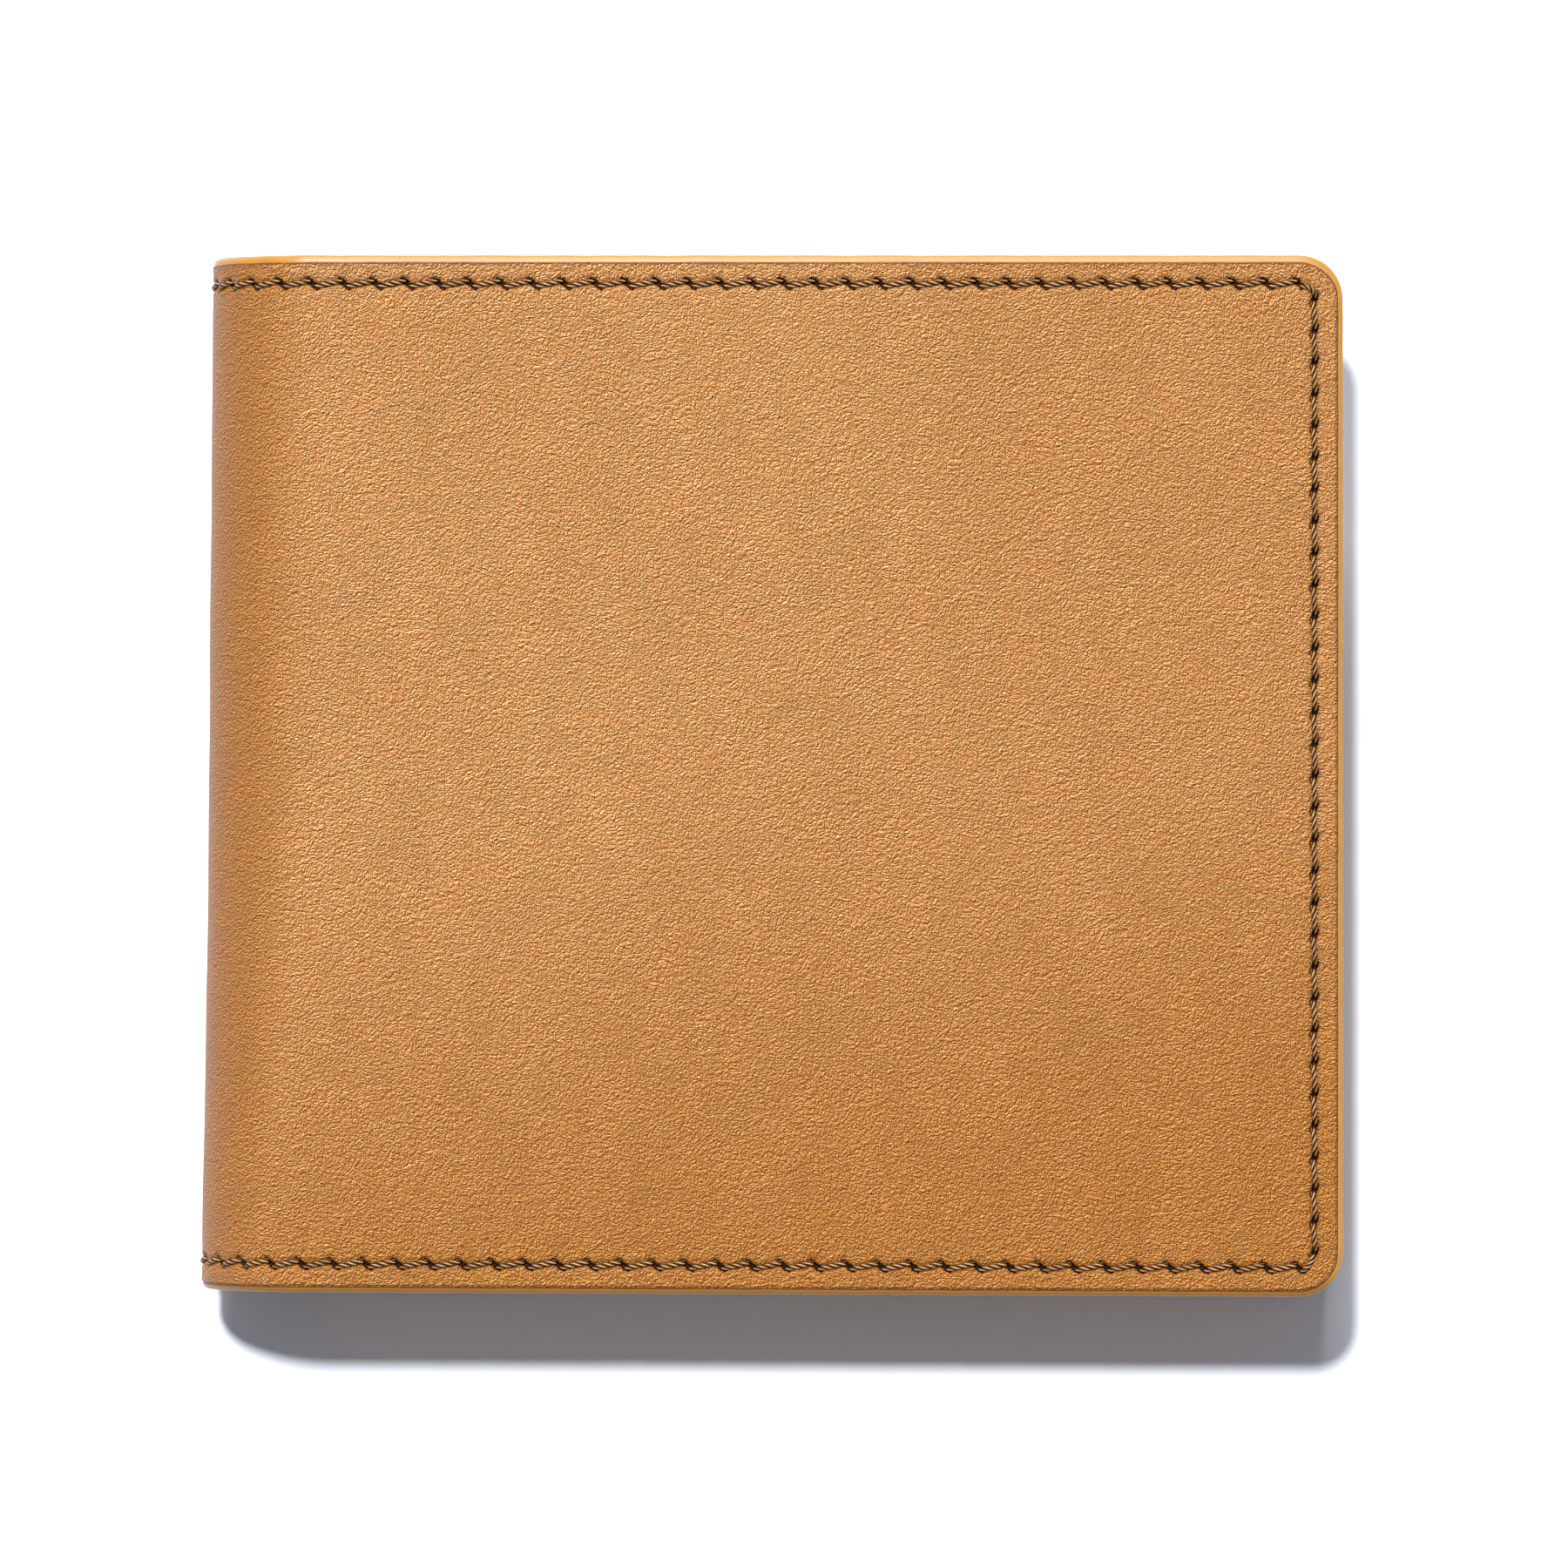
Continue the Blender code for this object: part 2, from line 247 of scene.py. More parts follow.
def mesh_object(name, points, faces, values, look, normals=None):
    """A smooth object. The values "s" and "y" become its UV map, and the others attributes."""
    mesh = bpy.data.meshes.new(name)
    mesh.from_pydata([tuple(p) for p in points], [], faces)
    loops = np.empty(len(mesh.loops), np.int32)
    mesh.loops.foreach_get("vertex_index", loops)
    uv = mesh.uv_layers.new(name="pattern")
    flat = np.stack([values["s"][loops], values["y"][loops]], axis=-1) * UV_PER_METRE
    uv.data.foreach_set("uv", flat.astype(np.float32).ravel())
    for key, data in values.items():
        if key not in ("s", "y"):
            made = mesh.attributes.new(key, "FLOAT", "POINT")
            made.data.foreach_set("value", np.asarray(data, np.float32))
    mesh.shade_smooth()
    if normals is not None:
        mesh.normals_split_custom_set_from_vertices([tuple(n) for n in normals])
    mesh.materials.append(look)
    return add_object(name, mesh)


def vertex_normals(points, faces):
    mesh = bpy.data.meshes.new("scratch")
    mesh.from_pydata([tuple(p) for p in points], [], faces)
    mesh.update()
    found = np.empty(len(points) * 3, np.float32)
    mesh.vertex_normals.foreach_get("vector", found)
    bpy.data.meshes.remove(mesh)
    return found.reshape(-1, 3)


# -------------------- pieces cut at the folds


def cut_line(number):
    """Where the pattern is cut between fold pieces: 0 and FOLDS are the two ends of the bend."""
    return S_LINE[S_MIDDLE + CUT_STEP * (number - FOLDS // 2)]


def bend(obj, number):
    """Works out the fold's ends, between the middles of the strips on both sides of it, and bakes the
    piece's place into its mesh; the ends are not used.
    """
    start, end = wrap([cut_line(number - 1), cut_line(number)], 0.0, LEATHER_THICK / 2)
    lean = SPINE_LEAN / (2 * HALF_HEIGHT)
    end[1] -= lean * (end[0] - start[0])
    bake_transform(obj)


def close_cuts(faces):
    """Adds a face over each open end that a cut has left."""
    edges = {(a, b) for face in faces for a, b in zip(face, face[1:] + face[:1])}
    after = {b: a for a, b in sorted(edges) if (b, a) not in edges}
    while after:
        start, point = after.popitem()
        loop = [start]
        while point != start:
            loop.append(point)
            point = after.pop(point)
        faces.append(loop)


def fold_pieces(name, build, replaced, look, centres=None):
    """Cuts a build that goes round the spine into one piece for each fold.

    A face belongs to the fold whose stretch of the pattern holds its middle, or its centre in
    centres where faces must stay together."""
    points, values = build.all_points(), build.all_values()
    normals = vertex_normals(points, build.faces)
    if centres is None:
        centres = [np.mean(values["s"][face]) for face in build.faces]
    fold = np.searchsorted([cut_line(n) for n in range(1, FOLDS)], centres) + 1
    for number in range(1, FOLDS + 1):
        chosen = [build.faces[i] for i in np.nonzero(fold == number)[0]]
        if not chosen:
            continue
        used, places = np.unique(np.concatenate(chosen), return_inverse=True)
        ends = np.cumsum([len(face) for face in chosen])[:-1]
        faces = [part.tolist() for part in np.split(places.ravel(), ends)]
        close_cuts(faces)
        part = {key: data[used] for key, data in values.items()}
        obj = mesh_object(f"{name}_{number}", points[used], faces, part, look, normals[used])
        bend(obj, number)
        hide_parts(*replaced(number))


def nodes_of_fold(flat, strip):
    """The CAD nodes that a fold piece stands for: a half's node at either end, and a strip's."""

    def find(number):
        names = []
        if number == 1:
            names += [f"back_{part}" for part in flat]
        if number == FOLDS:
            names += [f"front_{part}" for part in flat]
        if number > 1:
            names += [f"{part}_{number - 1}" for part in strip]
        return names

    return find


# -------------------- the cover's leather
# How far a stitch slants to each side of the seam's line, and the share of it down the sides
SLANT = 0.27 * MM
SIDE_SLANT = 0.45
# How far a slit reaches from where two stitches meet, as a share of a stitch
HOLE_REACH = 0.14
STITCH_PITCH = 3.1 * MM


def seam_depth(inset, phase, slant):
    """How far the leather is pulled in at a distance from the edge, across one stitch."""
    across = inset - SEAM
    centre = SLANT * slant * (2 * phase - 1)
    channel = 0.26 * MM * np.exp(-((across - centre) / (0.28 * MM)) ** 2)
    valley = 0.14 * MM * np.exp(-(across / (1.1 * MM)) ** 2)
    near = np.where(phase > 0.5, phase - 1, phase) / HOLE_REACH
    slit_centre = -SLANT * 1.25 * slant * np.clip(near, -1.2, 1.2)
    past_end = np.maximum(np.abs(near) - 1.0, 0) * HOLE_REACH * STITCH_PITCH
    distance = np.hypot((across - slit_centre) * 0.85, past_end)
    hole = 0.66 * MM * np.exp(-(distance / (0.23 * MM)) ** 2)
    beside = np.exp(-((np.abs(across) - 0.72 * MM) / (0.36 * MM)) ** 2)
    puff = 0.11 * MM * np.sin(math.pi * phase) ** 2 * beside
    return channel + valley + hole - puff


def swell(s, y):
    """The soft unevenness of the cover's face, positive where it stands proud."""
    return 0.12 * MM * wander(s, y, 26 * MM, 3.0) + 0.02 * MM * wander(s, y, 7 * MM, 8.0)


# The rounding of the cut edge's two corners, and the width of the coated bead along it
EDGE_ROUND = 0.55 * MM
INNER_ROUND = 0.35 * MM
BEAD = 0.70 * MM
# Insets of the rows of points over the seam
RINGS = np.array([
    0.60, 0.65, 0.68, 0.71, 0.74, 0.78, 0.86, 1.10, 1.35, 1.60, 1.82, 2.0, 2.13, 2.25, 2.36, 2.46,
    2.56, 2.66, 2.75, 2.84, 2.94, 3.04, 3.14, 3.25, 3.37, 3.52, 3.70, 3.95,
]) * MM


def crease_depth(inset):
    """The step from the leather's face down to the coated bead along its edge."""
    return 0.15 * MM * (1 - smooth(BEAD - 0.04 * MM, BEAD + 0.08 * MM, inset))


def field_depth(s, y):
    """The pull of the seam fades in from the edge of the field."""
    edge = np.minimum(STRAIGHT_S - np.abs(s), STRAIGHT_Y - np.abs(y)) + CORNER - SEAM
    return 0.14 * MM * np.exp(-(edge / (1.1 * MM)) ** 2) - swell(s, y)


def inner_ring(build, way, depth, **values):
    """The ring on the field's edge. Samples on a corner share one point."""
    first = {}
    for sample, place in enumerate(way.places):
        first.setdefault(place, sample)
    kept = np.array(sorted(first.values()))
    s, y = way.s[kept], way.y[kept]
    numbers = build.add(wrap(s, y, depth(s, y)), s=s, y=y, **values)
    by_place = {way.places[sample]: int(n) for sample, n in zip(kept, numbers)}
    return np.array([by_place[place] for place in way.places]), by_place


def border(points, rim, start, end):
    """The points along one side of a cell, its start included, with the rim's own where it is on it."""
    (c0, r0), (c1, r1) = start, end
    on_rim = (c0 == c1 and c0 in (0, S_LAST)) or (r0 == r1 and r0 in (0, Y_LAST))
    if not on_rim:
        return [points[start]]
    steps = max(abs(c1 - c0), abs(r1 - r0))
    way = [(c0 + (c1 - c0) * n // steps, r0 + (r1 - r0) * n // steps) for n in range(steps)]
    return [rim[place] for place in way if place in rim]


def fill_field(build, rim, columns, rows, depth, flip, **values):
    """The faces of the field inside its rim, on the given columns and rows of the pattern."""
    columns_in = [c for c in columns if 0 < c < S_LAST]
    rows_in = [r for r in rows if 0 < r < Y_LAST]
    s, y = np.meshgrid(S_LINE[columns_in], Y_LINE[rows_in], indexing="ij")
    numbers = build.add(wrap(s, y, depth(s, y)), s=s, y=y, **values).reshape(s.shape)
    points = dict(rim)
    for i, column in enumerate(columns_in):
        for j, row in enumerate(rows_in):
            points[(column, row)] = int(numbers[i, j])
    for left, right in zip(columns, columns[1:]):
        for low, high in zip(rows, rows[1:]):
            turns = [(left, low), (right, low), (right, high), (left, high)]
            face = []
            for start, end in zip(turns, turns[1:] + turns[:1]):
                face += border(points, rim, start, end)
            build.faces.append(face[::-1] if flip else face)


def bend_columns(flat_step, bend_step):
    """Columns of the pattern: fine ones round the bend, coarse ones on the flats."""
    low, high = S_MIDDLE - BEND_SAMPLES, S_MIDDLE + BEND_SAMPLES
    left, middle = range(0, low, flat_step), range(low, high, bend_step)
    return [*left, *middle, *range(high, S_LAST + 1, flat_step)]


def edge_profile(thickness, outer, inner, steps_out, steps_in):
    """Insets and depths from the outer face, over a rounded edge, to the inner face."""
    turns = [math.pi / 2 * (1 - i / steps_out) for i in range(1, steps_out + 1)]
    rows = [(outer * (1 - math.cos(t)), outer * (1 - math.sin(t))) for t in turns]
    turns = [math.pi / 2 * i / steps_in for i in range(steps_in + 1)]
    rows += [(inner * (1 - math.cos(t)), thickness - inner * (1 - math.sin(t))) for t in turns]
    return rows


def build_cover_leather():
    """The whole cover as one closed piece. For its material, edge is the way in from the cut edge,
    less than 0 down its side, and deep is how far the seam pulls the face in."""
    build, way = Build(), Round()
    rim_numbers, rim = inner_ring(build, way, field_depth, edge=CORNER / MM, deep=0.0)
    previous = rim_numbers
    for inset in RINGS[::-1]:
        s, y = way.at(inset)
        pulled = seam_depth(inset, way.phase, way.slant(way.out))
        depth = pulled + crease_depth(inset) - swell(s, y)
        row = build.add(wrap(s, y, depth), s=s, y=y, edge=inset / MM, deep=pulled / MM)
        build.strip(row, previous)
        previous = row
    lump = 0.035 * MM * wander(way.s + way.out * 9 * MM, way.y, 3.5 * MM, 5.0, 3)
    for inset, depth in edge_profile(LEATHER_THICK, EDGE_ROUND, INNER_ROUND, 5, 3):
        s, y = way.at(inset + lump * (inset < EDGE_ROUND * 0.9))
        top = crease_depth(EDGE_ROUND) * (1 - depth / LEATHER_THICK) - swell(s, y)
        row = build.add(wrap(s, y, depth + top), s=s, y=y, edge=inset / MM - depth / MM, deep=0.0)
        build.strip(row, previous)
        previous = row

    def inside(s, y):
        return LEATHER_THICK - swell(s, y)

    back_numbers, back_rim = inner_ring(build, way, inside, edge=5.0, deep=0.0)
    build.strip(back_numbers, previous)
    rows = list(range(0, Y_LAST + 1, 4))
    fill_field(build, rim, bend_columns(4, 2), rows, field_depth, False, edge=6.0, deep=0.0)
    wide = list(range(0, Y_LAST + 1, 12))
    fill_field(build, back_rim, bend_columns(12, 4), wide, inside, True, edge=5.0, deep=0.0)
    return build


# -------------------- the lining
LINING_INSET = 0.35 * MM
LINING_RINGS = np.array([0.2, 0.5, 1.2, 2.2, 3.2]) * MM


def build_lining():
    build, way = Build(), Round(step=4)

    def face(s, y):
        return LINING_IN - swell(s, y)

    def under(s, y):
        return LINING_OUT - swell(s, y)

    numbers, rim = inner_ring(build, way, under, edge=4.0)
    s, y = way.at(LINING_INSET)
    middle = (LINING_IN + LINING_OUT) / 2
    outer = build.add(wrap(s, y, under(s, y) + 0.05 * MM), s=s, y=y, edge=0.0)
    build.strip(outer, numbers)
    previous = outer
    for inset in np.append(0.03 * MM, LINING_RINGS):
        s, y = way.at(LINING_INSET + inset)
        tuck = 0.16 * MM * math.exp(-((inset + LINING_INSET - SEAM) / (0.5 * MM)) ** 2)
        row = build.add(wrap(s, y, face(s, y) - tuck), s=s, y=y, edge=inset / MM)
        build.strip(row, previous)
        previous = row
    inner_numbers, inner_rim = inner_ring(build, way, face, edge=4.0)
    build.strip(inner_numbers, previous)
    rows = list(range(0, Y_LAST + 1, 12))
    columns = bend_columns(12, 4)
    fill_field(build, rim, columns, rows, under, False, edge=5.0)
    fill_field(build, inner_rim, columns, rows, face, True, edge=5.0)
    return build


# -------------------- stitches
THREAD_R = 0.255 * MM
TWIST_LENGTH = 2.4 * MM
# The share of a stitch's length that each end stays back from its hole
STITCH_PAUSE = 0.085
# How far a stitch's middle stands proud, and how far its ends go down
RISE = 0.02 * MM
SINK = 0.55 * MM


def thread_frame(place, along, across, lift):
    """Each stitch's centre line, and its directions to the side and up."""
    centre = place(along, across, lift).reshape(*along.shape, 3)
    above = place(along, across, lift + 0.1 * MM).reshape(*along.shape, 3)
    tangent = np.gradient(centre, axis=1)
    tangent /= np.linalg.norm(tangent, axis=2, keepdims=True)
    up = above - centre
    up -= (up * tangent).sum(2, keepdims=True) * tangent
    up /= np.linalg.norm(up, axis=2, keepdims=True)
    return centre, np.cross(tangent, up), up


def sew(build, place, starts, length, pitch, rings=21, sides=12, rise=RISE, sink=SINK):
    """Stitches of three-ply thread. place(along, across, lift) gives points in the frame. Each
    stitch runs from its start for length, in the units of along, and is a pitch long in metres."""
    starts = np.asarray(starts, float)
    q = np.linspace(0, 1, rings)
    along = starts[:, None] + length * (STITCH_PAUSE + (1 - 2 * STITCH_PAUSE) * q)[None, :]
    across = np.broadcast_to(SLANT * 1.1 * (2 * q - 1), along.shape)
    arch = np.sin(math.pi * q) ** 0.5
    lift = np.broadcast_to(rise * arch - sink * (1 - arch), along.shape)
    centre, side, up = thread_frame(place, along, across, lift)
    angle = np.linspace(0, 2 * math.pi, sides, endpoint=False) - math.pi / 2
    turn = angle[None, :] + 2 * math.pi * pitch * q[:, None] / TWIST_LENGTH
    lobe = np.abs(np.cos(1.5 * turn)) ** 0.7
    taper = 0.75 + 0.25 * np.sin(math.pi * q) ** 0.5
    radius = THREAD_R * (0.74 + 0.26 * lobe) * taper[:, None]
    ring = np.cos(angle)[None, None, :, None] * side[:, :, None, :]
    ring = ring + np.sin(angle)[None, None, :, None] * up[:, :, None, :]
    points = centre[:, :, None, :] + radius[None, :, :, None] * ring
    shape = points.shape[:3]
    tone = np.array([noise.cell((n * 137.3, 2.0, 5.0)) for n in starts])[:, None, None]
    values = dict(
        s=np.broadcast_to((starts[:, None] + pitch * q)[:, :, None], shape),
        y=np.broadcast_to(angle * THREAD_R, shape),
        turn=np.broadcast_to(turn, shape),
        tone=np.broadcast_to(tone, shape),
    )
    numbers = build.add(points, **values).reshape(shape)
    for stitch in numbers:
        for first, second in zip(stitch, stitch[1:]):
            build.strip(second, first)
        build.faces.append(stitch[0].tolist())
        build.faces.append(stitch[-1][::-1].tolist())
    return (rings - 1) * sides + 2


def seam_starts(way):
    """The sample at which each stitch round the cover starts."""
    return np.arange(0, way.count, PER_STITCH)


def build_cover_seam():
    """The outer stitches, and the centre on the pattern of the stitch that each face is part of."""
    build, way = Build(), Round()

    def place(along, across, lift):
        s, y = way.between(along, SEAM, across)
        return wrap(s, y, 0.08 * MM - lift - swell(s, y))

    starts = seam_starts(way)
    faces_each = sew(build, place, starts, PER_STITCH, STITCH_PITCH)
    middle = way.between(starts + PER_STITCH / 2, SEAM)[0]
    return build, np.repeat(middle, faces_each)


def build_inner_seam():
    """The same seam's stitches on the lining: along the top, and across the spine at the bottom."""
    build, way = Build(), Round()

    def place(along, across, lift):
        s, y = way.between(along, SEAM, across)
        return wrap(s, y, LINING_IN + lift - 0.05 * MM)

    starts = seam_starts(way)
    s, y = way.between(starts + PER_STITCH / 2, SEAM)
    over_wall = (np.abs(s) > BEND_S - 0.5 * MM) & (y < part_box("back_note_wall")[1].y)
    starts, s = starts[~over_wall], s[~over_wall]
    faces_each = sew(build, place, starts, PER_STITCH, STITCH_PITCH, rings=13, sides=9)
    return build, np.repeat(s, faces_each)


# -------------------- the card stacks
EDGE_REACH = 0.5 * MM
BEAD_BULGE = 0.32 * MM


def around(half, points):
    """Turns x, y and depth into the frame for one half."""
    points = np.array(points, float).reshape(-1, 3)
    if half == "front":
        points[:, 2] = THICKNESS - points[:, 2]
    return settle(points)


# Steps in from a leaf's edges, fine over their rounding and the tooled line, and those between
NEAR_EDGE = MM * np.array([
    0, 0.02, 0.07, 0.16, 0.30, 0.6, 1.0, 1.15, 1.25, 1.35, 1.5, 2.2, 3.2, 4.5,
])
LEAF_STEP = 3.5 * MM


def lines(low, high):
    """Coordinates from low to high: the steps near each end, and even ones between them."""
    first, last = low + NEAR_EDGE, high - NEAR_EDGE[::-1]
    count = max(2, round((last[0] - first[-1]) / LEAF_STEP))
    return np.concatenate([first, np.linspace(first[-1], last[0], count + 1)[1:-1], last])


def squircle(x, y, centre_x, centre_y, radius):
    """Rounds the lower free corner of a square grid."""
    u, v = np.clip((x - centre_x) / radius, 0, 1), np.clip((centre_y - y) / radius, 0, 1)
    inside = (x > centre_x) & (y < centre_y)
    x = np.where(inside, centre_x + radius * u * np.sqrt(1 - v * v / 2), x)
    y = np.where(inside, centre_y - radius * v * np.sqrt(1 - u * u / 2), y)
    return x, y


def node_depths(half, node):
    """A node's outer and inner depth below its own half's outer face."""
    low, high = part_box(node)
    if half == "front":
        return THICKNESS - high.z, THICKNESS - low.z
    return low.z, high.z


def leaf_faces(build, upper, lower, flip):
    """The faces of a leaf's two sides, from grids of point numbers that share their rim."""
    for i in range(upper.shape[0] - 1):
        for j in range(upper.shape[1] - 1):
            for grid, turned in ((upper, flip), (lower, not flip)):
                corners = (grid[i, j], grid[i + 1, j], grid[i + 1, j + 1], grid[i, j + 1])
                face = [int(n) for n in corners]
                build.faces.append(face[::-1] if turned else face)


def build_leaf(half, node, shift):
    """One pocket or wall: thin leather with a rounded edge, a tooled line along its open edge, and
    a field that stands a little proud of its sewn margins."""
    depth_out, depth_in = node_depths(half, node)
    left, right = BEND_X + EDGE_REACH * 0.5, HALF_WIDTH - EDGE_REACH - 0.3 * MM
    bottom, top = -HALF_HEIGHT + EDGE_REACH + 0.3 * MM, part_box(node)[1].y
    x, y = np.meshgrid(lines(left, right), lines(bottom, top), indexing="ij")
    margin_x = np.minimum(x - left, right - x)
    margin_y = y - bottom
    open_edge = top - y
    inset = np.minimum(np.minimum(margin_x, margin_y), open_edge)
    radius = CORNER - EDGE_REACH - 0.3 * MM
    x, y = squircle(x, y, right - radius, bottom + radius, radius)
    half_thick = (depth_in - depth_out) / 2
    rounding = np.sqrt(1 - (1 - np.clip(inset / half_thick, 0, 1)) ** 2)
    sewn = smooth(2.0 * MM, 9.0 * MM, np.minimum(margin_x, margin_y))
    proud = 0.16 * MM * sewn + 0.05 * MM * wander(x + shift, y, 16 * MM, 11.0) * sewn
    line = 0.06 * MM * np.exp(-((open_edge - 1.25 * MM) / (0.08 * MM)) ** 2)
    middle = (depth_in + depth_out) / 2
    face = middle + half_thick * rounding + proud - line
    under = middle - half_thick * rounding + proud
    build = Build()
    flat_s = x + shift
    upper = build.add(around(half, np.stack([x, y, face], -1)), s=flat_s, y=y, edge=inset / MM)
    upper = upper.reshape(x.shape)
    core = (slice(1, -1), slice(1, -1))
    lower = upper.copy()
    added = build.add(
        around(half, np.stack([x[core], y[core], under[core]], -1)),
        s=flat_s[core], y=y[core], edge=inset[core] / MM,
    )
    lower[core] = added.reshape(x[core].shape)
    leaf_faces(build, upper, lower, half == "front")
    return build


def leaves(half):
    """The stack's leaves from the cover inwards, as (node, inner depth, top)."""
    names = [f"{half}_note_wall"]
    names += [f"{half}_card_pocket_{n}" for n in range(POCKETS, 0, -1)]
    return [(name, node_depths(half, name)[1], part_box(name)[1].y) for name in names]


def arc(centre_x, centre_y, radius, start, end, count):
    """Points on an arc, from one angle to another."""
    turns = np.linspace(start, end, count)
    return [(centre_x + radius * math.cos(t), centre_y + radius * math.sin(t)) for t in turns]


def edge_way(inset, top):
    """The way down the spine side, along the bottom, round the corner and up the free side."""
    left, right, bottom = BEND_X, HALF_WIDTH - EDGE_REACH, -HALF_HEIGHT + EDGE_REACH
    wide, small = CORNER - EDGE_REACH, 0.8 * MM
    spine_side = [(left + inset, y) for y in np.linspace(top, bottom + 1.2 * MM, 14)]
    turn = arc(left + small, bottom + small, small - inset, math.pi, 1.5 * math.pi, 6)
    hem = [(x, bottom + inset) for x in np.linspace(left + 2 * MM, right - wide - 1 * MM, 16)]
    corner = arc(right - wide, bottom + wide, wide - inset, -math.pi / 2, 0, 10)
    free_side = [(right - inset, y) for y in np.linspace(bottom + wide + 1 * MM, top, 14)]
    return spine_side + turn + hem + corner + free_side


def bead_profile(start, end):
    """Insets and depths round one leaf's edge bead: a bulging front, and a flat back."""
    middle, reach = (start + end) / 2, (end - start) / 2
    profile = []
    for turn in np.linspace(-math.pi / 2, math.pi / 2, 7):
        swing = math.copysign(abs(math.sin(turn)) ** 0.75, math.sin(turn))
        profile.append((BEAD_BULGE * (1 - math.cos(turn) ** 0.8), middle + reach * swing))
    return profile + [
        (0.62 * MM, end),
        (0.85 * MM, end - 0.08 * MM),
        (0.85 * MM, start + 0.05 * MM),
    ]


def build_stack_edge(half):
    """The pressed, glued and coloured margins of the leaves, one rounded bead for each leaf."""
    build = Build()
    flip = half == "front"
    end = LINING_IN + 0.02 * MM
    for index, (_, inner, top) in enumerate(leaves(half)):
        start, end = end + 0.01 * MM, inner + 0.04 * MM
        rows = []
        for inset, depth in bead_profile(start, end):
            way = edge_way(inset, top - 0.05 * MM)
            points = around(half, [(x, y, depth) for x, y in way])
            run = np.arange(len(way)) * 3 * MM
            rows.append(build.add(points, s=run, y=depth + index * 9 * MM, edge=0.0))
        for first, second in zip(rows, rows[1:] + rows[:1]):
            pair = (second, first) if flip else (first, second)
            build.strip(*pair, closed=False)
        ends = [[int(row[0]) for row in rows], [int(row[-1]) for row in rows][::-1]]
        build.faces += [end[::-1] for end in ends] if flip else ends
    return build


def stack_face(half, y):
    """The depth of the stack's face at a height, for margins."""
    return [inner for _, inner, top in leaves(half) if y < top - 0.2 * MM][-1]


def build_stack_seam(half):
    """Stitches down the free side, along the bottom and up the spine side of the stack."""
    build = Build()
    wall_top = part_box(f"{half}_note_wall")[1].y
    right, left, bottom = HALF_WIDTH - SEAM, BEND_X + 2.2 * MM, -HALF_HEIGHT + SEAM
    radius = CORNER - SEAM
    corner = arc(right - radius, bottom + radius, radius, 0, -math.pi / 2, 7)
    ends = wall_top - 0.8 * MM
    way = np.array([(right, ends), *corner, (left, bottom), (left, ends)])
    step = np.hypot(*np.diff(way, axis=0).T)
    distance = np.concatenate([[0], np.cumsum(step)])
    total = distance[-1]
    count = round(total / STITCH_PITCH)
    length = total / count
    starts = np.arange(count) * length
    near = 0.05 * MM

    def at(run):
        return [np.interp(run, distance, axis) for axis in way.T]

    level = np.array([stack_face(half, y) for y in at(starts + length / 2)[1]])

    def place(along, across, lift):
        x, y = at(along)
        ahead, behind = at(np.minimum(along + near, total)), at(np.maximum(along - near, 0))
        dx, dy = ahead[0] - behind[0], ahead[1] - behind[1]
        size = np.hypot(dx, dy)
        x, y = x + across * dy / size, y - across * dx / size
        depth = level[:, None] + lift + 0.02 * MM
        return around(half, np.stack([x, y, depth], -1))

    sew(build, place, starts, length, length, rings=13, sides=9, rise=0.1 * MM, sink=0.45 * MM)
    return build


def build_bottom_seam(node):
    """A hidden row of stitches that stops the cards, from leaf to leaf."""
    low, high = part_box(node)
    build = Build()
    count = round((high.x - low.x) / STITCH_PITCH)
    length = (high.x - low.x) / count
    middle_y, middle_z = (low.y + high.y) / 2, (low.z + high.z) / 2

    def place(along, across, lift):
        x = low.x + along
        return settle(np.stack([x, middle_y + across, middle_z + lift * 0.4], -1).reshape(-1, 3))

    sew(build, place, np.arange(count) * length, length, length, 7, 6, 0.05 * MM, 0.1 * MM)
    return build


# -------------------- materials


# The places of a Mix node's colour sockets
MIX_FIRST, MIX_SECOND, MIX_RESULT = 6, 7, 2


